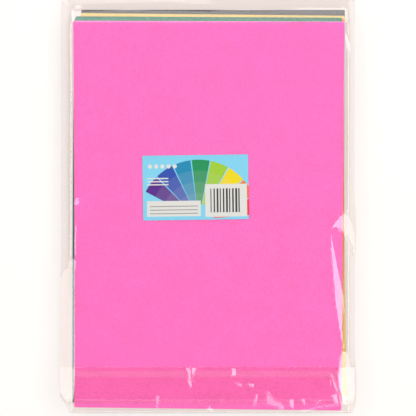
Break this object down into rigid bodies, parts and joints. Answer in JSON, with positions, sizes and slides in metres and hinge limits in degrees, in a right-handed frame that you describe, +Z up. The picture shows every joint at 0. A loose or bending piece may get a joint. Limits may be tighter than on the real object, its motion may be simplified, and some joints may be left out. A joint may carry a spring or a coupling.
{
  "type": "pack of craft foam sheets",
  "caption": "Stack of thin coloured craft foam sheets, fanned a little at the head, in a clear self-seal bag with a folded flap and a paper label.",
  "frame": {"origin": "middle of the bag's footprint, on the surface that the pack lies on", "axes": "+X across the sheets, +Y along them towards the bag's folded end, +Z up through the stack"},
  "size_m": [0.2323, 0.3291, 0.0243],
  "materials": {
    "foam_pink": "matt closed-cell foam",
    "foam_lilac": "matt closed-cell foam",
    "foam_green": "matt closed-cell foam",
    "foam_leaf_green": "matt closed-cell foam",
    "foam_orange": "matt closed-cell foam",
    "foam_yellow": "matt closed-cell foam",
    "foam_black": "matt closed-cell foam",
    "foam_blue": "matt closed-cell foam",
    "foam_red": "matt closed-cell foam",
    "foam_white": "matt closed-cell foam",
    "clear_film": "clear glossy film",
    "seal_adhesive": "clear adhesive, finely textured",
    "label_paper": "coated paper, printed"
  },
  "bodies": {
    "root": {"foam_sheet_pink": "foam_pink", "foam_sheet_lilac": "foam_lilac", "foam_sheet_green": "foam_green", "foam_sheet_leaf_green": "foam_leaf_green", "foam_sheet_orange": "foam_orange", "foam_sheet_yellow": "foam_yellow", "foam_sheet_black": "foam_black", "foam_sheet_blue": "foam_blue", "foam_sheet_red": "foam_red", "foam_sheet_white": "foam_white", "poly_bag": "clear_film", "seal_tape": "seal_adhesive", "label": "label_paper"}
  },
  "joints": []
}
